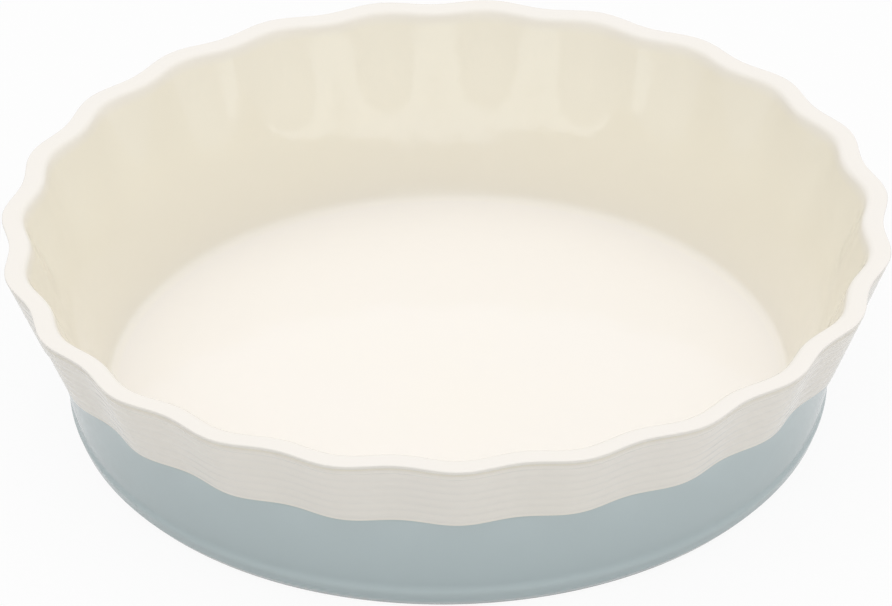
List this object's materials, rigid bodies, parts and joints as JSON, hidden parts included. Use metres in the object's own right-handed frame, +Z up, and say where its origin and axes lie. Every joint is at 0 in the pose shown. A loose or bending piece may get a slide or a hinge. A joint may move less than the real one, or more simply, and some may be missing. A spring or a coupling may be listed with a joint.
{
  "type": "fluted stoneware pie dish",
  "caption": "Round one-piece pie dish with a fluted flaring collar, wide rounded rim, flat inner floor and a beaded foot ring.",
  "frame": {"origin": "centre of the foot ring, on the ground plane that the dish stands on", "axes": "+Z up through the middle of the bowl; -Y towards the viewer of the picture, through a crest of the fluted rim"},
  "size_m": [0.2622, 0.2616, 0.0604],
  "materials": {
    "cream_stoneware": "gloss",
    "blue_glaze": "gloss"
  },
  "bodies": {
    "root": {"stoneware_body": "cream_stoneware", "belly_glaze": "blue_glaze", "base_glaze": "blue_glaze"}
  },
  "joints": []
}
